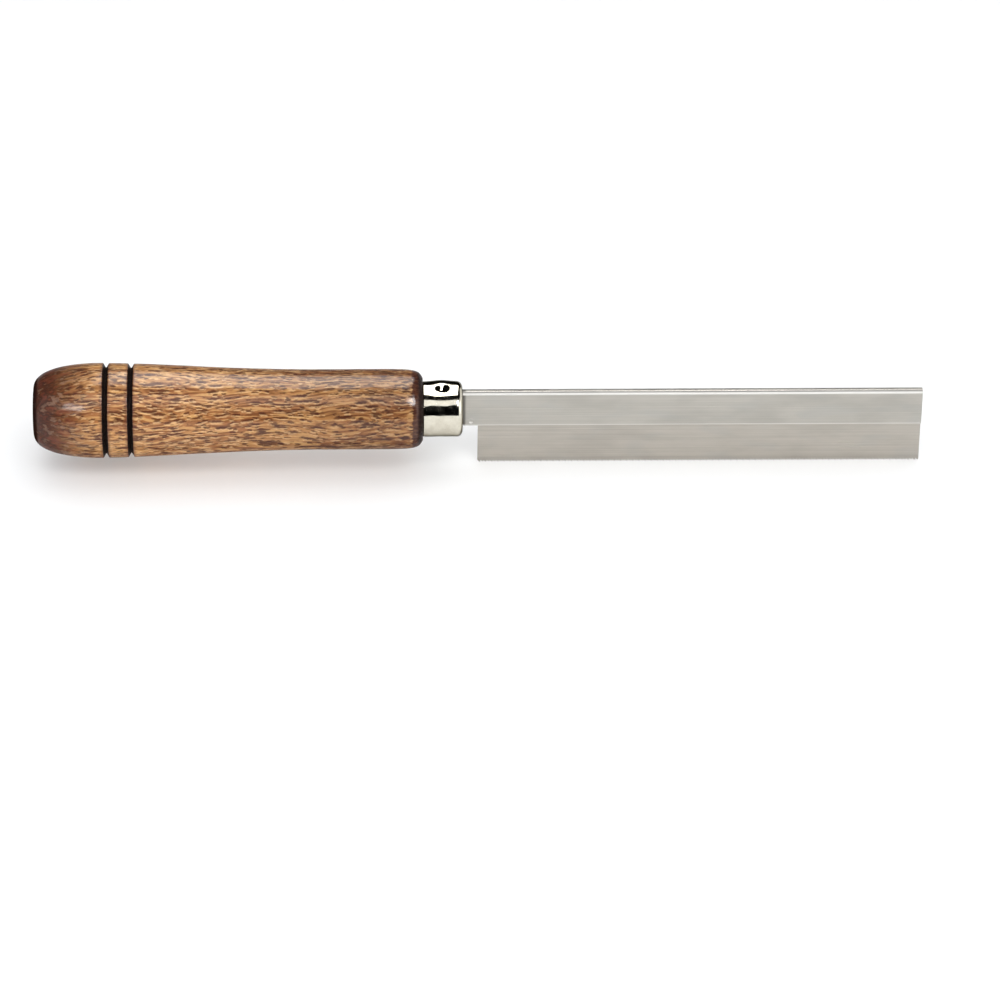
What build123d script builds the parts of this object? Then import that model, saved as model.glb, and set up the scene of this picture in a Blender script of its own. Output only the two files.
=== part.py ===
from build123d import *

import math
import os

# A small back saw: a fine-toothed blade held in a folded steel back, whose rear end passes through
# a ferrule into a turned wooden handle. The four pieces are separate solids and none of them moves.
#
# Frame, in millimetres: the origin is the centre of the handle's flat butt end. +X runs along the
# handle's axis from the butt to the toe of the blade, and Y is across the blade's thickness. +Z is
# up, on the side of the back, so the teeth point along -Z.

# Overall
SAW_LENGTH = 228.0
HANDLE_LENGTH = 99.5
FERRULE_LENGTH = 10.5
SLIP = 0.04  # gap between nested pieces, on each side

# Turned handle
BUTT_FLAT_RADIUS = 6.1
BUTT_EDGE_PULL = 4.2  # how far the outline leaves the butt squarely before it turns
GRIP_RADIUS = 12.15
GRIP_AT = 17.0  # where the handle is thickest
GRIP_PULL_BACK = 9.0
GRIP_PULL_AHEAD = 15.0
WAIST_RADIUS = 10.3
WAIST_START = 74.0
WAIST_END = 89.0
WAIST_PULL = 25.0
SHOULDER_FACE_RADIUS = 8.05
SHOULDER_PULL_ALONG = 9.2
SHOULDER_PULL_OUT = 1.9
SHOULDER_PULL_BACK = 1.05

# The two burnt V-grooves near the butt
GROOVES = ((18.5, 12.14), (24.9, 12.0))  # where each one is, and the handle's radius there
GROOVE_WIDTH = 1.5
GROOVE_FLOOR_WIDTH = 0.3
GROOVE_DEPTH = 1.15

# Drawn ferrule, a cup with a slot in its closed front
FERRULE_RADIUS = 7.1
FERRULE_WALL = 0.55
FERRULE_CORNER = 1.5
FERRULE_CROWN = 0.3  # how far the closed front bulges

# The dimple punched in the ferrule, which locks it to the wood
DIMPLE_AT = HANDLE_LENGTH + 4.85
DIMPLE_ANGLE = 80.0  # degrees, from -Y towards +Z
DIMPLE_RADIUS = 2.0
DIMPLE_DEPTH = 0.55

# Folded back
BACK_THICKNESS = 2.6
BACK_TOP = 5.35
BACK_BOTTOM = -4.3
BACK_FOLD_ROUNDING = 0.8
BACK_EDGE_ROUNDING = 0.2
TANG_LENGTH = 22.0  # from the ferrule's front to the end inside the handle
TANG_CORNER = 2.5

# The stake mark on the back, just behind the blade's heel
STAKE_AT = 111.9
STAKE_HEIGHT = -3.0
STAKE_RADIUS = 0.5
STAKE_DEPTH = 0.15

# Blade
BLADE_LENGTH = 114.3
BLADE_HEIGHT = 19.05
BLADE_THICKNESS = 0.25
BLADE_SLIP = 0.025
TOOTH_TIP = -15.7
TOOTH_COUNT = 144
TOOTH_RAKE = 15.0  # degrees, how far a tooth's leading face leans back
TOOTH_ANGLE = 60.0  # degrees, between a tooth's two faces

FERRULE_FRONT = HANDLE_LENGTH + FERRULE_LENGTH
FERRULE_CORNER_AT = FERRULE_FRONT - FERRULE_CROWN - FERRULE_CORNER
TANG_END = FERRULE_FRONT - TANG_LENGTH
BLADE_SLOT_WIDTH = BLADE_THICKNESS + 2 * BLADE_SLIP
BLADE_SLOT_TOP = BACK_TOP - (BACK_THICKNESS - BLADE_SLOT_WIDTH) / 2
BLADE_HEEL = SAW_LENGTH - BLADE_LENGTH


def turned(*edges):
    """The solid that an outline in the XZ plane sweeps round the X axis."""
    return revolve(make_face(edges), Axis.X)


def at(x, radius):
    """A point of a turned outline."""
    return (x, 0, radius)


def upright_section(width, bottom, top, top_rounding=0, bottom_rounding=0):
    """A tall section with rounded corners, drawn on the YZ plane."""
    section = Pos(0, (bottom + top) / 2) * Rectangle(width, top - bottom)
    if top_rounding:
        section = fillet(section.vertices().group_by(Axis.Y)[-1], top_rounding)
    if bottom_rounding:
        section = fillet(section.vertices().group_by(Axis.Y)[0], bottom_rounding)
    return Plane.YZ * section


def along_x(section, start, end):
    """A section drawn on the YZ plane, drawn out from one place on the X axis to another."""
    return Pos(start, 0, 0) * extrude(section, end - start, dir=(1, 0, 0))


def back_passage():
    """The volume that the back passes through in the ferrule's front and in the handle."""
    section = upright_section(
        BACK_THICKNESS + 2 * SLIP, BACK_BOTTOM - SLIP, BACK_TOP + SLIP, BACK_FOLD_ROUNDING + SLIP
    )
    return along_x(section, TANG_END - SLIP, FERRULE_FRONT + SLIP)


def dimple_ball(extra):
    """The ball that forms the dimple, grown by some thickness."""
    ball_radius = (DIMPLE_RADIUS**2 + DIMPLE_DEPTH**2) / (2 * DIMPLE_DEPTH)
    distance = FERRULE_RADIUS - DIMPLE_DEPTH + ball_radius
    angle = math.radians(DIMPLE_ANGLE)
    centre = Pos(DIMPLE_AT, -distance * math.cos(angle), distance * math.sin(angle))
    return centre * Sphere(ball_radius + extra)


def grip_body():
    """The handle's outside: a rounded butt, a long hollow taper, a waist and a round shoulder."""
    tenon_radius = FERRULE_RADIUS - FERRULE_WALL - SLIP
    tenon_end = FERRULE_CORNER_AT + FERRULE_CORNER - FERRULE_WALL - 3 * SLIP
    lead_in = FERRULE_CORNER - FERRULE_WALL
    butt = Bezier(
        at(0, BUTT_FLAT_RADIUS),
        at(0, BUTT_FLAT_RADIUS + BUTT_EDGE_PULL),
        at(GRIP_AT - GRIP_PULL_BACK, GRIP_RADIUS),
        at(GRIP_AT, GRIP_RADIUS),
    )
    taper = Bezier(
        at(GRIP_AT, GRIP_RADIUS),
        at(GRIP_AT + GRIP_PULL_AHEAD, GRIP_RADIUS),
        at(WAIST_START - WAIST_PULL, WAIST_RADIUS),
        at(WAIST_START, WAIST_RADIUS),
    )
    waist = Line(at(WAIST_START, WAIST_RADIUS), at(WAIST_END, WAIST_RADIUS))
    shoulder = Bezier(
        at(WAIST_END, WAIST_RADIUS),
        at(WAIST_END + SHOULDER_PULL_ALONG, WAIST_RADIUS),
        at(HANDLE_LENGTH - SHOULDER_PULL_BACK, SHOULDER_FACE_RADIUS + SHOULDER_PULL_OUT),
        at(HANDLE_LENGTH, SHOULDER_FACE_RADIUS),
    )
    rest = Polyline(
        at(HANDLE_LENGTH, SHOULDER_FACE_RADIUS),
        at(HANDLE_LENGTH, tenon_radius),
        at(tenon_end - lead_in, tenon_radius),
        at(tenon_end, tenon_radius - lead_in),
        at(tenon_end, 0),
        at(0, 0),
        at(0, BUTT_FLAT_RADIUS),
    )
    return turned(butt, taper, waist, shoulder, rest)


def groove(place, surface):
    """The ring cut away by one V-groove."""
    mouth = GROOVE_WIDTH / 2
    floor = GROOVE_FLOOR_WIDTH / 2
    ring = Polyline(
        at(place - floor, surface - GROOVE_DEPTH),
        at(place - mouth, surface),
        at(place - mouth, surface + GROOVE_DEPTH),
        at(place + mouth, surface + GROOVE_DEPTH),
        at(place + mouth, surface),
        at(place + floor, surface - GROOVE_DEPTH),
        close=True,
    )
    return turned(ring)


def handle():
    """The wooden handle, with its grooves, the tenon for the ferrule and the mortise for the back."""
    body = grip_body()
    for place, surface in GROOVES:
        body -= groove(place, surface)
    return body - back_passage() - dimple_ball(FERRULE_WALL + SLIP)


def ferrule_solid(inset, start):
    """The round-cornered, slightly domed plug that bounds the ferrule outside or inside."""
    radius = FERRULE_RADIUS - inset
    corner = FERRULE_CORNER - inset
    corner_radius = FERRULE_RADIUS - FERRULE_CORNER
    front = FERRULE_FRONT - inset
    side = Polyline(at(start, 0), at(start, radius), at(FERRULE_CORNER_AT, radius))
    slant = corner * math.sqrt(0.5)
    bend = ThreePointArc(
        at(FERRULE_CORNER_AT, radius),
        at(FERRULE_CORNER_AT + slant, corner_radius + slant),
        at(FERRULE_CORNER_AT + corner, corner_radius),
    )
    crown = Bezier(
        at(FERRULE_CORNER_AT + corner, corner_radius),
        at(front, corner_radius / 2),
        at(front, 0),
    )
    return turned(side, bend, crown, Line(at(front, 0), at(start, 0)))


def ferrule():
    """The drawn metal cup, with the slot that the back passes through and the punched dimple."""
    outside = ferrule_solid(0, HANDLE_LENGTH)
    inside = ferrule_solid(FERRULE_WALL, HANDLE_LENGTH - FERRULE_WALL)
    cup = outside - inside + (outside & dimple_ball(FERRULE_WALL)) - dimple_ball(0)
    return cup - back_passage()


def back():
    """The sheet folded over the blade, with the tang that runs back into the handle."""
    section = upright_section(
        BACK_THICKNESS, BACK_BOTTOM, BACK_TOP, BACK_FOLD_ROUNDING, BACK_EDGE_ROUNDING
    )
    channel = along_x(section, TANG_END, SAW_LENGTH)
    slit = upright_section(BLADE_SLOT_WIDTH, BACK_BOTTOM - SLIP, BLADE_SLOT_TOP)
    channel -= along_x(slit, TANG_END, SAW_LENGTH)
    bevel = TANG_CORNER * math.sqrt(2)
    for height in (BACK_BOTTOM, BACK_TOP):
        channel -= Pos(TANG_END, 0, height) * Rot(0, 45, 0) * Box(bevel, BACK_THICKNESS, bevel)
    stake_ball = (STAKE_RADIUS**2 + STAKE_DEPTH**2) / (2 * STAKE_DEPTH)
    stake_y = -BACK_THICKNESS / 2 + STAKE_DEPTH - stake_ball
    return channel - Pos(STAKE_AT, stake_y, STAKE_HEIGHT) * Sphere(stake_ball)


def blade():
    """The toothed plate, whose upper part sits in the fold of the back."""
    pitch = BLADE_LENGTH / TOOTH_COUNT
    lead = math.tan(math.radians(TOOTH_RAKE))
    trail = math.tan(math.radians(TOOTH_ANGLE - TOOTH_RAKE))
    depth = pitch / (lead + trail)
    outline = [(BLADE_HEEL, 0, TOOTH_TIP + BLADE_HEIGHT), (BLADE_HEEL, 0, TOOTH_TIP + depth)]
    for index in range(TOOTH_COUNT):
        gullet = BLADE_HEEL + index * pitch
        outline.append((gullet + trail * depth, 0, TOOTH_TIP))
        outline.append((gullet + pitch, 0, TOOTH_TIP + depth))
    outline.append((SAW_LENGTH, 0, TOOTH_TIP + BLADE_HEIGHT))
    plate = make_face(Polyline(*outline, close=True))
    return extrude(plate, BLADE_THICKNESS / 2, dir=(0, 1, 0), both=True)


os.makedirs("parts", exist_ok=True)
for piece in (handle, ferrule, back, blade):
    export_step(piece(), f"parts/{piece.__name__}.step")
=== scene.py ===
import math

import bmesh
import bpy
import numpy as np
from mathutils import Matrix, Vector


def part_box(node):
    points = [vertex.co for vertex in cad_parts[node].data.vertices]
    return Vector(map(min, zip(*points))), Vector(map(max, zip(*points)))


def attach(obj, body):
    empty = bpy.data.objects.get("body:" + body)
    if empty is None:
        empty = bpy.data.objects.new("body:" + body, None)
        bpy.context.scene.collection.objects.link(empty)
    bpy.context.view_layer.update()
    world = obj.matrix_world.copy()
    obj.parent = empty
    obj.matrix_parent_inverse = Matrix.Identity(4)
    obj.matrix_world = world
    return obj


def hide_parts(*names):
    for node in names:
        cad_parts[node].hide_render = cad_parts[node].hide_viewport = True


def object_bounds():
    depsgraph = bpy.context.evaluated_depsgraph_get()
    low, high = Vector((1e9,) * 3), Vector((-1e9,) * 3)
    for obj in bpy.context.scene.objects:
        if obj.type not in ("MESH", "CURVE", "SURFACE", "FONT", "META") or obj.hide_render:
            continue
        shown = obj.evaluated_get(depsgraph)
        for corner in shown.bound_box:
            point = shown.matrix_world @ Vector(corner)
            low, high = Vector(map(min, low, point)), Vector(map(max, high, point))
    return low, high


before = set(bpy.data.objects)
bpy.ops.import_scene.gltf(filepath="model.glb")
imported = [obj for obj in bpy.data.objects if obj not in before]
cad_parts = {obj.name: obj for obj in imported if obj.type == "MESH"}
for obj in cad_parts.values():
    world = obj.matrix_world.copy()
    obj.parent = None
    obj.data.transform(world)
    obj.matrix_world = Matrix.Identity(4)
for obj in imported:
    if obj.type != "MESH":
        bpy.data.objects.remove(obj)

cad_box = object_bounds()

# The saw's looks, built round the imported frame. Blender works in metres. Lengths here are in
# millimetres and are turned into metres when a mesh is made. The lamps are given in metres.
MM = 0.001


def cad(node):
    """A CAD node's lowest and highest corners, in millimetres."""
    low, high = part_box(node)
    return low / MM, high / MM


HANDLE_HIGH = cad("handle")[1]
FERRULE_LOW, FERRULE_HIGH = cad("ferrule")
BACK_LOW, BACK_HIGH = cad("back")
BLADE_LOW, BLADE_HIGH = cad("blade")

# Handle, turned to the same outline as its CAD solid
HANDLE_FRONT = FERRULE_LOW.x
GRIP_RADIUS = HANDLE_HIGH.z
GRIP_AT = 17.0
BUTT_FLAT_RADIUS = 6.1
BUTT_EDGE_PULL = 4.2
GRIP_PULL_BACK = 9.0
GRIP_PULL_AHEAD = 15.0
WAIST_RADIUS = 10.3
WAIST_START = 74.0
WAIST_END = 89.0
WAIST_PULL = 25.0
SHOULDER_FACE_RADIUS = 8.05
SHOULDER_PULL_ALONG = 9.2
SHOULDER_PULL_OUT = 1.9
SHOULDER_PULL_BACK = 1.05
SHOULDER_ARRIS = 3.0  # how far behind the front face the dark, rounded shoulder begins
GROOVES = (18.5, 24.9)
GROOVE_HALF_WIDTH = 0.75
GROOVE_DEPTH = 1.15
GROOVE_LIP = 0.06  # how rounded the grooves' lips and floors are, as shares of the half width
GROOVE_FLOOR = 0.15
GRAIN_RELIEF = 0.035

# Ferrule
FERRULE_RADIUS = FERRULE_HIGH.z
FERRULE_LENGTH = 10.5
FERRULE_FRONT = FERRULE_LOW.x + FERRULE_LENGTH
FERRULE_WALL = 0.55
FERRULE_CORNER = 1.5
FERRULE_CROWN = 0.3
LIP_RADIUS = 0.3
DIMPLE_AT = FERRULE_LOW.x + 4.85
DIMPLE_ANGLE = math.radians(80)
DIMPLE_RADIUS = 2.15
DIMPLE_DEPTH = 0.55
DIMPLE_PULL = 0.22  # how far the metal round the dimple is drawn in
DIMPLE_PULL_RADIUS = 3.2
DIMPLE_SWELL = 0.32  # and how far it swells beyond that, over the top of the ferrule
DIMPLE_SWELL_RADIUS = 2.6
DIMPLE_SWELL_AWAY = 5.0
DRAWN_WAVES = 0.04  # height of the faint waves left by drawing

# Back and blade
SLIP = 0.04
BACK_THICKNESS = 2 * BACK_HIGH.y
TANG_CORNER = 2.5
BACK_FOLD_ROUNDING = 0.8
BACK_EDGE_ROUNDING = 0.22
BLADE_THICKNESS = 2 * BLADE_HIGH.y
BLADE_SLOT_WIDTH = BLADE_THICKNESS + 0.05
STAKE_AT = 111.9
STAKE_HEIGHT = -3.0
STAKE_RADIUS = 0.55
STAKE_DEPTH = 0.15
STAKE_RIM = 0.03  # how far the metal round the stake mark stands up
TOOTH_COUNT = 144
TOOTH_SET = 0.05
TOOTH_FLEAM = 0.10  # how much shorter a tooth is on the side that it leans away from
TOOTH_RAKE = math.radians(15)
TOOTH_ANGLE = math.radians(60)


# ---------------------------------------------------------------- mesh helpers

CORNER_STEPS = 9  # points round a rounded corner
HANDLE_SEGMENTS = 336  # points round a turned piece
FERRULE_SEGMENTS = 256


def lattice_noise(points, seed, size=64):
    """Smooth noise from -1 to 1 at each point, with features about one unit across."""
    table = np.random.default_rng(seed).uniform(-1, 1, (size, size, size))
    cell = np.floor(points).astype(int)
    part = points - cell
    part = part * part * (3 - 2 * part)
    total = np.zeros(points.shape[:-1])
    for corner in np.ndindex(2, 2, 2):
        weight = np.where(corner, part, 1 - part).prod(axis=-1)
        i, j, k = np.moveaxis((cell + corner) % size, -1, 0)
        total += weight * table[i, j, k]
    return total


def bezier(count, *control):
    """Points along a cubic curve, without its last one."""
    t = np.linspace(0, 1, count, endpoint=False)[:, None]
    a, b, c, d = np.array(control, float)
    return (1 - t) ** 3 * a + 3 * (1 - t) ** 2 * t * b + 3 * (1 - t) * t**2 * c + t**3 * d


def arc(count, centre, radius, start, end):
    """Points along a circular arc, both ends included. The angles are in degrees."""
    angle = np.radians(np.linspace(start, end, count))
    return np.array(centre) + radius * np.column_stack((np.cos(angle), np.sin(angle)))


def make_object(name, points, faces, sharp_deg=35):
    """A smooth-shaded object from points in millimetres, with edges sharper than sharp_deg kept hard."""
    mesh = bpy.data.meshes.new(name)
    mesh.from_pydata((np.asarray(points) * MM).tolist(), [], faces)
    work = bmesh.new()
    work.from_mesh(mesh)
    bmesh.ops.remove_doubles(work, verts=work.verts, dist=1e-7)
    bmesh.ops.recalc_face_normals(work, faces=work.faces)
    mark_sharp(work, sharp_deg)
    work.to_mesh(mesh)
    work.free()
    obj = bpy.data.objects.new(name, mesh)
    bpy.context.scene.collection.objects.link(obj)
    return obj


def mark_sharp(work, sharp_deg):
    """Shades a bmesh smooth, except across its sharp edges."""
    limit = math.radians(sharp_deg)
    for face in work.faces:
        face.smooth = True
    for edge in work.edges:
        edge.smooth = edge.calc_face_angle(0) < limit


def lathe(outline, segments, shape=None):
    """Points and faces of an outline of (x, radius) turned round the X axis. Where the radius is
    zero, the ring closes to a point. shape may move the points, as an array of rings."""
    angle = np.arange(segments) * 2 * math.pi / segments
    x, radius = np.array(outline).T
    rings = np.empty((len(x), segments, 3))
    rings[..., 0] = x[:, None]
    rings[..., 1] = -radius[:, None] * np.cos(angle)
    rings[..., 2] = radius[:, None] * np.sin(angle)
    if shape:
        rings = shape(rings)
    return rings.reshape(-1, 3), ring_faces(len(x), segments)


def ring_faces(rings, segments, caps=False):
    """Quads between neighbouring rings of points, and a face over each end if caps is set."""
    faces = []
    for ring in range(rings - 1):
        a, b = ring * segments, (ring + 1) * segments
        for i in range(segments):
            j = (i + 1) % segments
            faces.append((a + i, a + j, b + j, b + i))
    if caps:
        faces.append(tuple(range(segments)))
        faces.append(tuple(range((rings - 1) * segments, rings * segments)))
    return faces


def cut(obj, tool, sharp_deg):
    """Cuts the tool's volume out of an object, and removes the tool."""
    step = obj.modifiers.new("cut", "BOOLEAN")
    step.operation = "DIFFERENCE"
    step.solver = "MANIFOLD"
    step.object = tool
    bpy.context.view_layer.update()
    result = bpy.data.meshes.new_from_object(obj.evaluated_get(bpy.context.evaluated_depsgraph_get()))
    obj.modifiers.clear()
    obj.data = result
    bpy.data.objects.remove(tool)
    work = bmesh.new()
    work.from_mesh(result)
    mark_sharp(work, sharp_deg)
    work.to_mesh(result)
    work.free()


def upright_outline(width, bottom, top, top_rounding=0, bottom_rounding=0):
    """A tall outline in (y, z), anticlockwise from its low right corner, each corner round if asked."""

    def corner(side, level, rounding, start):
        if not rounding:
            return [(side * width / 2, level)]
        inward = rounding if level == bottom else -rounding
        centre = (side * (width / 2 - rounding), level + inward)
        return arc(CORNER_STEPS, centre, rounding, start, start + 90)

    return np.vstack(
        (
            corner(1, bottom, bottom_rounding, -90),
            corner(1, top, top_rounding, 0),
            corner(-1, top, top_rounding, 90),
            corner(-1, bottom, bottom_rounding, 180),
        )
    )


def drawn_along_x(outline, stations):
    """Points of a (y, z) outline repeated at each place along X."""
    rings = np.empty((len(stations), len(outline), 3))
    rings[..., 0] = np.array(stations)[:, None]
    rings[..., 1:] = outline
    return rings


def slot_tool():
    """The volume that the back takes up in the ferrule's front and in the handle."""
    outline = upright_outline(
        BACK_THICKNESS + 2 * SLIP, BACK_LOW.z - SLIP, BACK_HIGH.z + SLIP, BACK_FOLD_ROUNDING + SLIP
    )
    rings = drawn_along_x(outline, (BACK_LOW.x - SLIP, FERRULE_FRONT + 1))
    return make_object("slot", rings.reshape(-1, 3), ring_faces(2, len(outline), caps=True))


# ---------------------------------------------------------------- handle


def groove_drop(x):
    """How deep the grooves are at x, with rounded lips and floors."""
    drop = np.zeros_like(x)
    for groove in GROOVES:
        reach = np.sqrt(((x - groove) / GROOVE_HALF_WIDTH) ** 2 + GROOVE_FLOOR**2)
        drop += GROOVE_LIP * np.log1p(np.exp((1 - reach) / GROOVE_LIP)) / (1 - GROOVE_FLOOR)
    return drop * GROOVE_DEPTH


def butt_curve(count):
    """The round butt, from the edge of its flat end to the handle's thickest place."""
    return bezier(
        count,
        (0, BUTT_FLAT_RADIUS),
        (0, BUTT_FLAT_RADIUS + BUTT_EDGE_PULL),
        (GRIP_AT - GRIP_PULL_BACK, GRIP_RADIUS),
        (GRIP_AT, GRIP_RADIUS),
    )


def taper_curve(count):
    """The long hollow taper, from the thickest place to the start of the waist."""
    return bezier(
        count,
        (GRIP_AT, GRIP_RADIUS),
        (GRIP_AT + GRIP_PULL_AHEAD, GRIP_RADIUS),
        (WAIST_START - WAIST_PULL, WAIST_RADIUS),
        (WAIST_START, WAIST_RADIUS),
    )


def shoulder_curve(count):
    """The round shoulder, from the end of the waist to the handle's front face."""
    return bezier(
        count,
        (WAIST_END, WAIST_RADIUS),
        (WAIST_END + SHOULDER_PULL_ALONG, WAIST_RADIUS),
        (HANDLE_FRONT - SHOULDER_PULL_BACK, SHOULDER_FACE_RADIUS + SHOULDER_PULL_OUT),
        (HANDLE_FRONT, SHOULDER_FACE_RADIUS),
    )


def grip_stations():
    """Places along the grip, close together in the grooves."""
    margin = 1.4  # how far each way from a groove its close stations reach
    fine, between, coarse = 0.1, 0.5, 0.55
    first, last = GROOVES[0] - margin, GROOVES[-1] + margin
    middle = (GROOVES[0] + margin, GROOVES[-1] - margin)
    return np.concatenate(
        (
            np.arange(first, middle[0], fine),
            np.arange(middle[0], middle[1], between),
            np.arange(middle[1], last, fine),
            np.arange(last, WAIST_END, coarse),
        )
    )


def handle_outline():
    """The turned outline from the centre of the butt to the centre of the tenon's front."""
    tenon = FERRULE_RADIUS - FERRULE_WALL - SLIP
    tenon_end = HANDLE_HIGH.x
    lead_in = FERRULE_CORNER - FERRULE_WALL
    face_rings, curve_points, butt_points, shoulder_points, tenon_rings = 9, 200, 44, 30, 28

    spread = np.linspace(0, BUTT_FLAT_RADIUS, face_rings, endpoint=False)
    face = np.column_stack((np.zeros(face_rings), spread))
    stations = grip_stations()
    butt = butt_curve(butt_points)
    butt = butt[butt[:, 0] < stations[0] - 0.2]
    surface = np.vstack((butt_curve(curve_points), taper_curve(curve_points), [(WAIST_START, WAIST_RADIUS)]))
    grip = np.column_stack((stations, np.interp(stations, *surface.T) - groove_drop(stations)))
    corner = [(HANDLE_FRONT, SHOULDER_FACE_RADIUS)]
    side = np.linspace(HANDLE_FRONT, tenon_end - lead_in, tenon_rings)
    tenon_side = np.column_stack((side, np.full(tenon_rings, tenon)))
    end = [(tenon_end, tenon - lead_in), (tenon_end, 0)]
    return np.vstack((face, butt, grip, shoulder_curve(shoulder_points), corner, tenon_side, end))


def wood_relief(rings):
    """Raises and sinks the turned surface a little along the grain, and dents the tenon where the
    ferrule is punched."""
    x, y, z = np.moveaxis(rings, -1, 0)
    sway = 1.1 * lattice_noise(rings * (0.10, 0.16, 0.16), 1)
    fibre = lattice_noise(np.stack((x * 0.30, y * 1.1 + sway, z * 1.1 - sway), axis=-1), 2)
    broad = lattice_noise(rings * (0.08, 0.2, 0.2), 3)
    amount = GRAIN_RELIEF * (0.7 * fibre + 0.6 * broad)
    amount *= np.clip((HANDLE_FRONT - 0.4 - x) / 1.5, 0, 1)
    radius = np.maximum(np.hypot(y, z), 1e-9)
    to_centre = np.clip(radius / BUTT_FLAT_RADIUS, 0, 1)
    scale = 1 + amount * to_centre / radius
    grained = np.stack((x, y * scale, z * scale), axis=-1)
    tenon = (x >= HANDLE_FRONT) & (radius < FERRULE_RADIUS)
    return np.where(tenon[..., None], press(rings), grained)


def build_handle():
    """The turned handle, with its grooves, its tenon and the mortise for the back."""
    points, faces = lathe(handle_outline(), HANDLE_SEGMENTS, wood_relief)
    piece = make_object("wood_handle", points, faces, sharp_deg=50)
    cut(piece, slot_tool(), sharp_deg=50)
    return piece


# ---------------------------------------------------------------- ferrule


def ferrule_outline():
    """The cup's outline from the centre of its front, round the outside and back inside."""
    corner_at = FERRULE_FRONT - FERRULE_CROWN - FERRULE_CORNER
    corner_radius = FERRULE_RADIUS - FERRULE_CORNER
    inner_radius = FERRULE_RADIUS - FERRULE_WALL
    inner_corner = FERRULE_CORNER - FERRULE_WALL
    front_rings, outer_rings, inner_rings = 12, 64, 48
    spread = np.linspace(0, corner_radius, front_rings, endpoint=False)
    crown = FERRULE_CROWN * (1 - (spread / corner_radius) ** 2)
    outer_front = np.column_stack((corner_at + FERRULE_CORNER + crown, spread))
    outer_bend = arc(12, (corner_at, corner_radius), FERRULE_CORNER, 0, 90)
    lip_at = FERRULE_LOW.x + LIP_RADIUS
    side_places = np.linspace(corner_at, lip_at, outer_rings + 2)[1:-1]
    side = np.column_stack((side_places, np.full(outer_rings, FERRULE_RADIUS)))
    lip = arc(CORNER_STEPS, (lip_at, FERRULE_RADIUS - LIP_RADIUS), LIP_RADIUS, 90, 180)
    inner_places = np.linspace(lip_at, corner_at, inner_rings)
    inner_side = np.column_stack((inner_places, np.full(inner_rings, inner_radius)))
    inner_bend = arc(7, (corner_at, corner_radius), inner_corner, 90, 0)[1:]
    inner_front = np.column_stack((corner_at + inner_corner + crown, spread))[::-1]
    return np.vstack((outer_front, outer_bend, side, lip, inner_side, inner_bend, inner_front))


def press(rings):
    """Punches the dimple into a round surface, with the metal that it draws in and pushes up, and
    adds the faint waves left by drawing."""
    x, y, z = np.moveaxis(rings, -1, 0)
    radius = np.maximum(np.hypot(y, z), 1e-9)
    along = x - DIMPLE_AT
    turn = np.arctan2(z, -y) - DIMPLE_ANGLE
    around = ((turn + math.pi) % (2 * math.pi) - math.pi) * FERRULE_RADIUS
    away = np.hypot(along, around)
    move = -DIMPLE_DEPTH * np.cos(math.pi / 2 * np.clip(away / DIMPLE_RADIUS, 0, 1)) ** 2
    move -= DIMPLE_PULL * np.exp(-((away / DIMPLE_PULL_RADIUS) ** 2))
    past = np.hypot(along, around - DIMPLE_SWELL_AWAY)
    move += DIMPLE_SWELL * np.exp(-((past / DIMPLE_SWELL_RADIUS) ** 2))
    move += DRAWN_WAVES * lattice_noise(rings * (0.55, 0.35, 0.35), 4)
    on_the_side = np.clip((radius - FERRULE_RADIUS + 1) / 0.3, 0, 1)
    scale = 1 + move * on_the_side / radius
    return np.stack((x, y * scale, z * scale), axis=-1)


def build_ferrule():
    """The drawn cup, with its dimple and the slot for the back."""
    points, faces = lathe(ferrule_outline(), FERRULE_SEGMENTS, press)
    piece = make_object("nickel_ferrule", points, faces, sharp_deg=40)
    cut(piece, slot_tool(), sharp_deg=40)
    return piece


# ---------------------------------------------------------------- back


def stake_steps():
    """Distances across the stake mark, close together over the mark itself."""
    return np.concatenate(([-1.0], np.arange(-0.85, 0.86, 0.1), [1.0]))


def channel_section():
    """The folded sheet's closed outline in (y, z): round the outside, then up and down the slit."""
    outside = upright_outline(
        BACK_THICKNESS, BACK_LOW.z, BACK_HIGH.z, BACK_FOLD_ROUNDING, BACK_EDGE_ROUNDING
    )
    rows = STAKE_HEIGHT - stake_steps()
    stake_rows = np.column_stack((np.full(len(rows), -BACK_HIGH.y), rows))
    left_end = np.flatnonzero(outside[:, 1] > 0)[-1] + 1
    slit_top = BACK_HIGH.z - (BACK_THICKNESS - BLADE_SLOT_WIDTH) / 2
    inside = upright_outline(BLADE_SLOT_WIDTH, BACK_LOW.z, slit_top)[::-1]
    return np.vstack((outside[:left_end], stake_rows, outside[left_end:], inside))


def back_stations():
    """Places along X, close together at the tang's bevel and the stake mark."""
    return np.concatenate(
        (
            np.linspace(BACK_LOW.x, BACK_LOW.x + TANG_CORNER, 4),
            np.linspace(BACK_LOW.x + 2 * TANG_CORNER, STAKE_AT - 1, 12)[:-1],
            STAKE_AT + stake_steps(),
            np.linspace(STAKE_AT + 1, BACK_HIGH.x - 0.3, 110)[1:],
            [BACK_HIGH.x - 0.1, BACK_HIGH.x],
        )
    )


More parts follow.
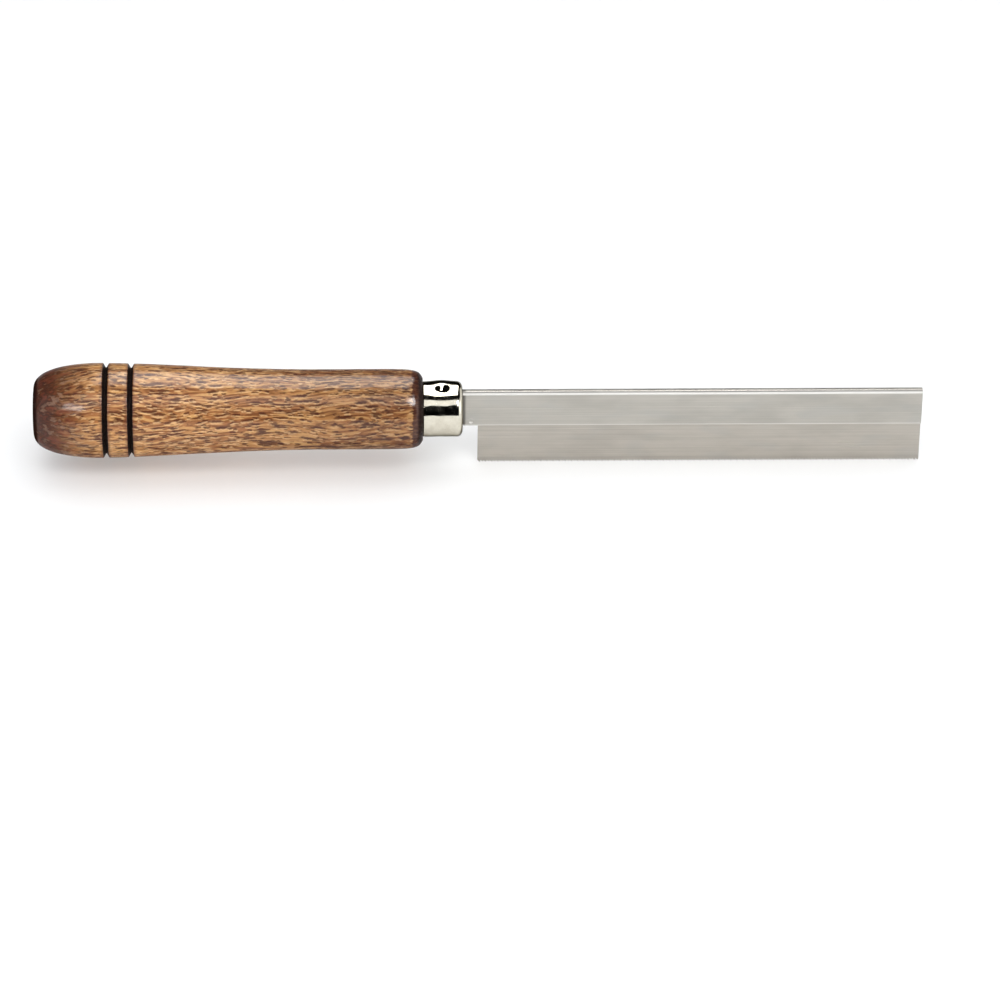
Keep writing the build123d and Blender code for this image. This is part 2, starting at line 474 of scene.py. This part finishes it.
def build_back():
    """The folded sheet with its slit, the tang's bevelled end and the stake mark on the near side."""
    stations = back_stations()
    rings = drawn_along_x(channel_section(), stations)
    x, y, z = np.moveaxis(rings, -1, 0)
    middle = (BACK_LOW.z + BACK_HIGH.z) / 2
    bevel = np.clip(1 - (x - BACK_LOW.x) / TANG_CORNER, 0, 1) * TANG_CORNER
    z = middle + (z - middle) * (1 - 2 * bevel / (BACK_HIGH.z - BACK_LOW.z))
    away = np.hypot(x - STAKE_AT, z - STAKE_HEIGHT) / STAKE_RADIUS
    near_side = y < -BACK_HIGH.y + 0.01
    y = y + np.where(near_side, STAKE_DEPTH * np.clip(1 - away**2, 0, 1), 0)
    y = y - np.where(near_side, STAKE_RIM * np.exp(-(((away - 1.25) / 0.25) ** 2)), 0)
    points = np.stack((x, y, z), axis=-1)
    faces = ring_faces(len(stations), points.shape[1], caps=True)
    return make_object("steel_back", points.reshape(-1, 3), faces, sharp_deg=30)


# ---------------------------------------------------------------- blade


def blade_column(column):
    """One upright row of points on each side of the plate, ending in a gullet for an even column and
    in a tooth's tip for an odd one. Teeth lean to one side in turn and come to a point on it."""
    pitch = (BLADE_HIGH.x - BLADE_LOW.x) / TOOTH_COUNT
    lead, trail = math.tan(TOOTH_RAKE), math.tan(TOOTH_ANGLE - TOOTH_RAKE)
    depth = pitch / (lead + trail)
    root = BLADE_LOW.z + depth
    middle = (BACK_LOW.z + BLADE_LOW.z) / 2
    levels = (BLADE_HIGH.z, BACK_LOW.z, middle, root + 1.2, root + 0.3)
    tooth, is_tip = divmod(column, 2)
    x = BLADE_LOW.x + tooth * pitch + (trail * depth if is_tip else 0)
    lean = (1 if tooth % 2 else -1) * TOOTH_SET
    rows = []
    for side in (-1, 1):
        y = side * BLADE_THICKNESS / 2
        blunt = TOOTH_FLEAM if side * lean < 0 else 0
        end = (x, y + lean, BLADE_LOW.z + blunt) if is_tip else (x, y, root)
        rows.append([(x, y, level) for level in levels] + [end])
    return rows


def build_blade():
    """The plate: columns of points with quads between them, closed along the top, the teeth and
    both ends."""
    columns = np.array([blade_column(column) for column in range(2 * TOOTH_COUNT + 1)])
    last = columns.shape[2] - 1
    numbers = np.arange(columns[..., 0].size).reshape(columns.shape[:3]).tolist()
    faces = []
    for (near_a, far_a), (near_b, far_b) in zip(numbers, numbers[1:]):
        for a, b in ((near_a, near_b), (far_a, far_b)):
            for k in range(last):
                faces.append((a[k], b[k], b[k + 1], a[k + 1]))
        for k in (0, last):
            faces.append((near_a[k], near_b[k], far_b[k], far_a[k]))
    for near, far in (numbers[0], numbers[-1]):
        for k in range(last):
            faces.append((near[k], near[k + 1], far[k + 1], far[k]))
    return make_object("toothed_blade", columns.reshape(-1, 3), faces, sharp_deg=12)


# ---------------------------------------------------------------- material helpers


class Graph:
    """Adds nodes to a new material, and joins an input to a socket or sets it to a value."""

    def __init__(self, name):
        self.material = bpy.data.materials.new(name)
        self.material.use_nodes = True
        self.tree = self.material.node_tree
        self.shader = self.tree.nodes["Principled BSDF"]

    def put(self, socket, value):
        if isinstance(value, bpy.types.NodeSocket):
            self.tree.links.new(value, socket)
        else:
            socket.default_value = value

    def node(self, kind, inputs, output=0, **settings):
        made = self.tree.nodes.new("ShaderNode" + kind)
        for key, value in settings.items():
            setattr(made, key, value)
        for key, value in inputs.items():
            self.put(made.inputs[key], value)
        return made.outputs[output]

    def maths(self, operation, a, b=0.0):
        return self.node("Math", {0: a, 1: b}, operation=operation)

    def times(self, a, b):
        return self.maths("MULTIPLY", a, b)

    def larger(self, a, b):
        return self.maths("MAXIMUM", a, b)

    def centred(self, noise, reach):
        """Noise of 0 to 1 moved to lie round zero, and multiplied by reach."""
        return self.times(self.maths("SUBTRACT", noise, 0.5), reach)

    def vector(self, operation, a, b):
        return self.node("VectorMath", {0: a, 1: b}, operation=operation)

    def centred_vector(self, noise, reach):
        """The same for coloured noise, with a reach for each axis."""
        return self.vector("MULTIPLY", self.vector("SUBTRACT", noise, (0.5,) * 3), reach)

    def millimetres(self):
        """The place on the object, in the saw's own frame."""
        place = self.node("TexCoord", {}, "Object")
        return self.vector("MULTIPLY", place, (1 / MM,) * 3)

    def noise(self, place, stretch, detail=2.0, roughness=0.5, output="Fac"):
        """Noise with one feature per unit of place times stretch."""
        scaled = self.vector("MULTIPLY", place, stretch)
        inputs = {"Vector": scaled, "Scale": 1.0, "Detail": detail, "Roughness": roughness}
        return self.node("TexNoise", inputs, output)

    def dashes(self, place, stretch, edge, core):
        """Scattered short dashes, one per cell of place times stretch, from 0 outside to 1 inside."""
        scaled = self.vector("MULTIPLY", place, stretch)
        away = self.node("TexVoronoi", {"Vector": scaled, "Scale": 1.0}, "Distance")
        return self.step(away, edge, core)

    def step(self, value, start, end, low=0.0, high=1.0):
        """Goes smoothly from low to high as value goes from start to end."""
        inputs = {0: value, 1: start, 2: end, 3: low, 4: high}
        return self.node("MapRange", inputs, interpolation_type="SMOOTHSTEP", clamp=True)

    def blend(self, share, a, b, mode="MIX"):
        """Colour a with share of colour b over it."""
        inputs = {0: share, 6: a, 7: b}
        return self.node("Mix", inputs, 2, data_type="RGBA", blend_type=mode)

    def bump(self, height, depth_mm, below=None):
        """A surface normal for heights from 0 to 1 that stand for depth_mm."""
        inputs = {"Height": height, "Distance": depth_mm * MM, "Strength": 1.0}
        if below is not None:
            inputs["Normal"] = below
        return self.node("Bump", inputs)

    def finish(self, **values):
        """Sets the shader's inputs, named with _ for a space, and gives the finished material."""
        for key, value in values.items():
            self.put(self.shader.inputs[key.replace("_", " ")], value)
        return self.material


def colour(red, green, blue):
    """A linear colour from sRGB values of 0 to 255."""

    def linear(value):
        value /= 255
        return value / 12.92 if value <= 0.04045 else ((value + 0.055) / 1.055) ** 2.4

    return (linear(red), linear(green), linear(blue), 1)


# ---------------------------------------------------------------- materials


# The wood's colours
GOLDEN = colour(177, 125, 74)
TAN = colour(152, 98, 57)
LIGHT_STREAK = colour(208, 160, 101)
DARK_STREAK = colour(104, 60, 30)
FIBRE_HIGHLIGHT = colour(232, 188, 134)
LONG_DASH = colour(76, 32, 12)
SHORT_DASH = colour(70, 30, 12)
PORE = colour(56, 26, 12)
GREY_WEAR = colour(150, 140, 138)
STAIN = colour(118, 90, 86)
RED_SWIRL = colour(134, 66, 46)
PALE_SWIRL = colour(170, 136, 114)
SOAKED = colour(62, 38, 31)
END_FACE = colour(26, 15, 14)
SHOULDER_BROWN = colour(66, 28, 18)
CREASE_SHADE = colour(22, 13, 12)
SCORCHED = colour(92, 48, 32)
CHARRED = colour(16, 12, 12)
RIM_SHADE = colour(70, 40, 26)


def wood_grain(g, place):
    """The place on the wood, pushed sideways by the sway of its interlocked grain."""
    slow = g.noise(place, (0.028, 0.06, 0.06), 1.0, 0.5, "Color")
    quick = g.noise(place, (0.12, 0.30, 0.30), 1.0, 0.5, "Color")
    sway = g.centred_vector(slow, (0, 11.0, 11.0))
    wiggle = g.centred_vector(quick, (0, 1.6, 1.6))
    return g.vector("ADD", g.vector("ADD", place, sway), wiggle)


def fray(g, place, grain):
    """The place on the grain, made ragged so that the dashes get torn ends."""
    ragged = g.noise(place, (0.9, 1.3, 1.3), 2.0, 0.5, "Color")
    return g.vector("ADD", grain, g.centred_vector(ragged, (2.4, 0.6, 0.6)))


def open_grain(g, place, narrower=0.0):
    """The long and the short dashes of the open grain, the short ones from their own pattern."""
    long_dash = g.dashes(place, (0.15, 0.84, 0.84), 0.48 - narrower, 0.20)
    shifted = g.vector("ADD", place, (7, 3, 5))
    short_dash = g.dashes(shifted, (0.36, 1.14, 1.14), 0.46 - narrower, 0.20)
    return long_dash, short_dash


def stain_ends(g, base, x, streak, place, frayed):
    """Darkens the end grain of the butt and the round shoulder, which drink more stain, and paints
    shade into the crease against the ferrule. Gives the colour, and shares for how far each place
    is butt, end face and painted crease shade."""
    butt = g.step(g.maths("ADD", x, g.centred(streak, 9.0)), GRIP_AT + 0.5, 3)
    arris = HANDLE_FRONT - SHOULDER_ARRIS
    worn = g.maths("ADD", x, g.centred(streak, 1.6))
    shoulder = g.step(worn, arris, arris + 0.5, 0, 0.8)
    base = g.blend(g.larger(butt, shoulder), base, STAIN, "MULTIPLY")

    swirl = g.noise(frayed, (0.4, 0.6, 0.6))
    base = g.blend(g.times(butt, g.step(swirl, 0.50, 0.62, 0, 0.42)), base, RED_SWIRL)
    base = g.blend(g.times(butt, g.step(swirl, 0.46, 0.34, 0, 0.35)), base, PALE_SWIRL)
    soak = g.noise(place, (0.35, 0.45, 0.45), 3.0, 0.6)
    soaked = g.times(g.step(x, 9, 1, 0, 0.75), g.step(soak, 0.35, 0.6, 0.4, 1))
    base = g.blend(soaked, base, SOAKED)
    end_face = g.step(x, 1.5, 0.7, 0, 0.85)
    base = g.blend(end_face, base, END_FACE)

    base = g.blend(g.times(shoulder, 0.7), base, SHOULDER_BROWN)
    # Painted shade, near black, in the crease against the ferrule
    crease_shade = g.step(x, HANDLE_FRONT - 1.9, HANDLE_FRONT - 0.7, 0, 0.9)
    base = g.blend(crease_shade, base, CREASE_SHADE)
    return base, butt, end_face, crease_shade


def burn_grooves(g, base, x, place):
    """Chars the grooves and scorches a brown halo beside them. Gives the colour and the charring."""
    uneven = g.noise(place, (0.9, 1.3, 1.3))
    charred, scorched = 0.0, 0.0
    for groove in GROOVES:
        away = g.maths("ABSOLUTE", g.maths("SUBTRACT", x, groove))
        away = g.maths("ADD", away, g.centred(uneven, 0.35))
        charred = g.larger(charred, g.step(away, 0.85, 0.62))
        scorched = g.larger(scorched, g.step(away, 1.7, 0.7))
    base = g.blend(g.times(scorched, 0.6), base, SCORCHED)
    return g.blend(g.times(charred, 0.97), base, CHARRED), charred


def wood_material():
    """Stained, lacquered hardwood with interlocked grain, open pores and burnt grooves."""
    g = Graph("stained_hardwood")
    place = g.millimetres()
    x = g.node("SeparateXYZ", {0: place}, "X")
    grain = wood_grain(g, place)
    frayed = fray(g, place, grain)

    # Broad figure and long streaks
    figure = g.noise(place, (0.05, 0.12, 0.12), 1.0)
    streak = g.noise(grain, (0.06, 1.6, 1.6))
    base = g.blend(g.step(figure, 0.40, 0.60), GOLDEN, TAN)
    base = g.blend(g.step(streak, 0.50, 0.36, 0, 0.7), base, LIGHT_STREAK)
    base = g.blend(g.step(streak, 0.50, 0.64, 0, 0.75), base, DARK_STREAK)

    # Dashes, each with a painted highlight on one side for a raised fibre edge catching light.
    # They fade where the butt turns to end grain.
    side_grain = g.step(x, 1.5, 13, 0.25, 1)
    long_dash, short_dash = (g.times(dash, side_grain) for dash in open_grain(g, frayed))
    highlight_rims = open_grain(g, g.vector("ADD", frayed, (0, 0.2, 0.42)), narrower=0.04)
    pore = g.dashes(grain, (0.45, 1.9, 1.9), 0.32, 0.2)
    base = g.blend(g.times(g.times(g.larger(*highlight_rims), side_grain), 0.55), base, FIBRE_HIGHLIGHT)
    base = g.blend(g.times(long_dash, 0.90), base, LONG_DASH)
    base = g.blend(g.times(short_dash, 0.85), base, SHORT_DASH)
    base = g.blend(g.times(pore, 0.4), base, PORE)
    base = g.blend(g.step(x, 35, 95, 0, 0.5), base, GREY_WEAR, "MULTIPLY")

    base, butt, end_face, crease_shade = stain_ends(g, base, x, streak, place, frayed)
    base, charred = burn_grooves(g, base, x, place)

    # Lacquer lies smooth over the fibres and sinks into the pores. It is dull on the butt and in
    # the crease, and its shine is held back towards the outline.
    sunk = g.larger(g.larger(long_dash, short_dash), pore)
    normal = g.bump(g.times(sunk, -1.0), 0.05)
    fine = g.bump(g.times(streak, -1.0), 0.04, normal)
    roughness = g.maths("ADD", g.step(sunk, 0, 1, 0.40, 0.52), g.times(charred, 0.1))
    dull = g.larger(g.times(butt, 0.45), g.larger(crease_shade, end_face))
    grazing = g.node("LayerWeight", {"Blend": 0.5}, "Facing")
    coat = g.times(g.step(dull, 0, 0.85, 0.95, 0.0), g.step(grazing, 0.30, 0.50, 1.0, 0.12))
    gloss = g.times(g.step(end_face, 0, 0.5, 0.08, 0.0), g.step(grazing, 0.72, 0.97, 1.0, 0.1))
    # Painted shade: the wood's colour goes darker towards its outline as seen
    base = g.blend(g.step(grazing, 0.70, 1.0, 0, 0.5), base, RIM_SHADE)
    return g.finish(
        Base_Color=base,
        Roughness=roughness,
        Specular_IOR_Level=gloss,
        Normal=fine,
        Coat_Weight=coat,
        Coat_IOR=1.42,
        Coat_Roughness=0.14,
        Coat_Normal=g.bump(streak, 0.02),
    )


# The metals' colours
NICKEL = colour(222, 217, 202)
HAZED_NICKEL = colour(208, 202, 186)
NICKEL_SPECK = colour(120, 110, 96)
EDGE_SHADE_TINT = colour(110, 110, 110)
BACK_STEEL = (188, 184, 176)
BLADE_STEEL = (188, 182, 173)
COOL_STEEL = colour(150, 156, 160)
FERRULE_JOINT_SHADE = colour(70, 66, 62)
BLADE_JOINT_SHADOW = colour(86, 82, 78)
EDGE_HIGHLIGHT = colour(244, 242, 238)
BEND_HIGHLIGHT = colour(206, 204, 200)
BEND_TOP_SHADE = colour(118, 116, 113)
FILED_BAND = colour(104, 102, 100)


def nickel_material():
    """Bright nickel plate over drawn steel: slightly creamy, with faint rings, haze and rubs."""
    g = Graph("nickel_plate")
    place = g.millimetres()
    haze = g.noise(place, (0.5, 0.5, 0.5), 3.0, 0.6)
    rings = g.noise(place, (9.0, 0.25, 0.25), 2.0, 0.6)
    specks = g.step(g.noise(place, (3.5, 3.5, 3.5), 1.0), 0.66, 0.78)
    base = g.blend(g.step(haze, 0.3, 0.7), NICKEL, HAZED_NICKEL)
    base = g.blend(g.times(specks, 0.3), base, NICKEL_SPECK)
    roughness = g.maths("ADD", g.step(haze, 0.35, 0.7, 0.06, 0.14), g.times(specks, 0.15))
    # The grey edge tint darkens the reflections towards the outline, as painted shade
    return g.finish(
        Base_Color=base,
        Metallic=1.0,
        Roughness=roughness,
        Normal=g.bump(rings, 0.003),
        Specular_Tint=EDGE_SHADE_TINT,
    )


def steel(g, place, tone):
    """Ground steel: fine lines along the saw and cloudy smudges. Gives its colour, its roughness and
    the normal of its lines."""
    lines = g.noise(place, (0.02, 4.0, 7.0), 4.0, 0.6)
    hairs = g.noise(place, (0.010, 14.0, 24.0), 2.0, 0.6)
    cloud = g.noise(place, (0.06, 0.25, 0.20), 3.0, 0.55)
    tint = g.noise(place, (0.10, 0.3, 0.30), 1.0, 0.5)
    dim = tuple(0.80 * value for value in tone)
    base = g.blend(g.step(lines, 0.3, 0.7, 0, 0.35), colour(*tone), colour(*dim))
    base = g.blend(g.step(hairs, 0.4, 0.75, 0, 0.2), base, colour(*dim))
    base = g.blend(g.step(cloud, 0.4, 0.7, 0, 0.3), base, colour(*dim))
    base = g.blend(g.step(tint, 0.5, 0.7, 0, 0.12), base, COOL_STEEL)
    roughness = g.maths("ADD", g.step(lines, 0.3, 0.7, 0.26, 0.34), g.step(cloud, 0.3, 0.7, 0, 0.06))
    height = g.maths("ADD", g.times(lines, 0.6), g.times(hairs, 0.4))
    return base, roughness, g.bump(height, 0.003)


def back_material():
    """Steel with painted shade where it meets the ferrule and a painted highlight along its lower
    edge. The bend at the top of the fold is rougher than its flat sides, and is painted with a
    highlight low on it, darkening to painted shade towards the top."""
    g = Graph("bright_back_steel")
    place = g.millimetres()
    x, z = (g.node("SeparateXYZ", {0: place}, axis) for axis in "XZ")
    upward = g.node("SeparateXYZ", {0: g.node("NewGeometry", {}, "Normal")}, "Z")
    base, roughness, normal = steel(g, place, BACK_STEEL)
    # Painted shade where the back meets the ferrule
    joint_shade = g.step(x, FERRULE_FRONT + 0.8, FERRULE_FRONT + 0.1, 0, 0.75)
    base = g.blend(joint_shade, base, FERRULE_JOINT_SHADE)
    # A painted highlight along the back's rounded lower edge
    edge_highlight = g.step(z, BACK_LOW.z + 0.55, BACK_LOW.z + 0.25, 0, 0.4)
    base = g.blend(edge_highlight, base, EDGE_HIGHLIGHT)
    # The bend is painted with a highlight low on it, darkening to painted shade towards the top
    bend = g.times(g.step(upward, 0.02, 0.2), g.step(upward, 0.997, 0.98))
    base = g.blend(bend, base, g.blend(g.step(upward, 0.45, 0.97), BEND_HIGHLIGHT, BEND_TOP_SHADE))
    flat_top = g.step(upward, 0.97, 0.995)
    roughness = g.maths("ADD", roughness, g.times(bend, 0.25))
    roughness = g.maths("SUBTRACT", roughness, g.times(flat_top, 0.05))
    metal = g.step(bend, 0, 1, 1.0, 0.5)
    return g.finish(Base_Color=base, Metallic=metal, Roughness=roughness, Normal=normal)


def blade_material():
    """Steel with a painted shadow along the joint under the back, and a filed band at the teeth."""
    g = Graph("ground_blade_steel")
    place = g.millimetres()
    z = g.node("SeparateXYZ", {0: place}, "Z")
    base, roughness, normal = steel(g, place, BLADE_STEEL)
    # A painted shadow on the blade just under the back
    joint_shade = g.step(z, BACK_LOW.z - 0.75, BACK_LOW.z - 0.2, 0, 0.7)
    base = g.blend(joint_shade, base, BLADE_JOINT_SHADOW)
    ragged = g.times(g.noise(place, (0.8, 1, 1)), 0.25)
    band = g.step(g.maths("SUBTRACT", z, ragged), BLADE_LOW.z + 1.6, BLADE_LOW.z + 1.0, 0, 0.15)
    base = g.blend(band, base, FILED_BAND)
    return g.finish(Base_Color=base, Metallic=1.0, Roughness=roughness, Normal=normal)


def floor_material():
    """Pale, faintly mottled studio board."""
    g = Graph("studio_board")
    place = g.millimetres()
    mottle = g.noise(place, (0.02, 0.02, 0.02), 3.0)
    base = g.blend(mottle, (0.88, 0.88, 0.875, 1), (0.92, 0.92, 0.915, 1))
    return g.finish(Base_Color=base, Roughness=0.7, Specular_IOR_Level=0.2)


# ---------------------------------------------------------------- studio

SAW_MIDDLE = (cad_box[0] + cad_box[1]) / 2 / MM
FLOOR_HALF = 4000
FLOOR_GAP = 0.02  # between the teeth and the floor
LAMP_DISTANCE = 1.3  # metres

# The photo's viewing angle, in degrees, with a long lens
CAMERA_AZIMUTH = -2.24
CAMERA_ELEVATION = 30.57
CAMERA_ROLL = 0.86
CAMERA_DISTANCE = 1298.24
CAMERA_AIM = SAW_MIDDLE + Vector((5.73, 0, -25.485))  # below the saw, which is high in the frame
CAMERA_REACH = 100  # metres
LENS = 180
SENSOR = 36


def direction(azimuth, elevation):
    """The way from the saw to what is seen at an azimuth and elevation, in degrees. Azimuth 0 is
    the near side, and 90 the toe."""
    a, e = math.radians(azimuth), math.radians(elevation)
    return Vector((math.sin(a) * math.cos(e), -math.cos(a) * math.cos(e), math.sin(e)))


def build_floor():
    """A wide flat sheet just under the teeth."""
    half, depth = FLOOR_HALF, BLADE_LOW.z - FLOOR_GAP
    corners = [(-half, -half, depth), (half, -half, depth), (half, half, depth), (-half, half, depth)]
    floor = make_object("studio_floor", corners, [(0, 1, 2, 3)])
    floor.data.materials.append(floor_material())


def softbox(name, azimuth, elevation, width, height, brightness, seen_by, shadow=True):
    """A rectangular light facing the saw from an azimuth and elevation. One seen by "diffuse" lights
    matt surfaces and isn't reflected. One seen by "reflections" only shows in shiny surfaces."""
    data = bpy.data.lights.new(name, "AREA")
    data.shape = "RECTANGLE"
    data.size = width
    data.size_y = height
    data.energy = brightness * math.pi * width * height
    data.use_shadow = shadow
    lamp = bpy.data.objects.new(name, data)
    bpy.context.scene.collection.objects.link(lamp)
    way = direction(azimuth, elevation)
    lamp.location = SAW_MIDDLE * MM + way * LAMP_DISTANCE
    lamp.rotation_euler = way.to_track_quat("Z", "Y").to_euler()
    lamp.visible_camera = False
    lamp.visible_diffuse = seen_by == "diffuse"
    lamp.visible_glossy = seen_by == "reflections"


def build_lights():
    """A soft light from above and behind with a fill in front, for the matt surfaces, and bright
    cards that the lacquer and the metal reflect. The sizes are in metres."""
    softbox("key_overhead", 180, 64, 1.8, 1.5, 0.6, "diffuse")
    softbox("overhead_strip", 172, 61.5, 0.52, 1.30, 4.4, "reflections")
    softbox("front_strip", 0, 56, 0.9, 0.6, 1.3, "reflections")
    softbox("front_fill", 4, 46, 1.4, 1.0, 3.2, "diffuse", shadow=False)
    softbox("front_left", -26, 33, 0.30, 0.30, 12.0, "reflections")
    softbox("front_right", 32, 50, 0.4, 0.45, 18.0, "reflections")
    softbox("left_card", -62, 22, 1.0, 1.1, 1.0, "reflections")
    softbox("right_card", 68, 22, 1.0, 1.1, 1.0, "reflections")


def build_world():
    """A pale surround that lights matt surfaces. In its place, reflections see a dark room with one
    pale wall, on the side of the toe and fading out overhead."""
    world = bpy.data.worlds.new("studio_world")
    world.use_nodes = True
    tree = world.node_tree
    pale = tree.nodes["Background"]
    pale.inputs["Color"].default_value = (0.95, 0.97, 1.0, 1)
    pale.inputs["Strength"].default_value = 0.65

    def add(kind, *inputs, **settings):
        node = tree.nodes.new("ShaderNode" + kind)
        for key, value in settings.items():
            setattr(node, key, value)
        for socket, value in zip(node.inputs, inputs):
            if isinstance(value, bpy.types.NodeSocket):
                tree.links.new(value, socket)
            else:
                socket.default_value = value
        return node.outputs

    way = add("SeparateXYZ", add("TexCoord")["Generated"])
    toe_side = add("MapRange", way["X"], 0.56, 0.64, 0.0, 1.0)[0]
    below_the_top = add("MapRange", way["Z"], 0.62, 0.50, 0.02, 1.0)[0]
    wall = add("Math", toe_side, below_the_top, operation="MULTIPLY")[0]
    room = add("Background", wall, 1.0)[0]
    is_reflection = add("LightPath")["Is Glossy Ray"]
    choice = add("MixShader", is_reflection, pale.outputs[0], room)[0]
    tree.links.new(choice, tree.nodes["World Output"].inputs["Surface"])
    bpy.context.scene.world = world


def build_camera():
    """A long lens on the near side, a little towards the butt and well above the saw."""
    data = bpy.data.cameras.new("photo_view")
    data.lens = LENS
    data.sensor_width = SENSOR
    data.clip_end = CAMERA_REACH
    camera = bpy.data.objects.new("photo_view", data)
    bpy.context.scene.collection.objects.link(camera)
    back = direction(CAMERA_AZIMUTH, CAMERA_ELEVATION)
    roll = Matrix.Rotation(math.radians(CAMERA_ROLL), 3, "Z").to_quaternion()
    camera.rotation_euler = (back.to_track_quat("Z", "Y") @ roll).to_euler()
    camera.location = (CAMERA_AIM + back * CAMERA_DISTANCE) * MM
    bpy.context.scene.camera = camera


def install(piece, node, material):
    """Puts a finished piece in a CAD node's place."""
    piece.data.materials.clear()
    piece.data.materials.append(material)
    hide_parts(node)
    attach(piece, "root")


install(build_handle(), "handle", wood_material())
install(build_ferrule(), "ferrule", nickel_material())
install(build_back(), "back", back_material())
install(build_blade(), "blade", blade_material())

build_floor()
build_world()
build_lights()
build_camera()
bpy.context.scene.view_settings.view_transform = "Standard"
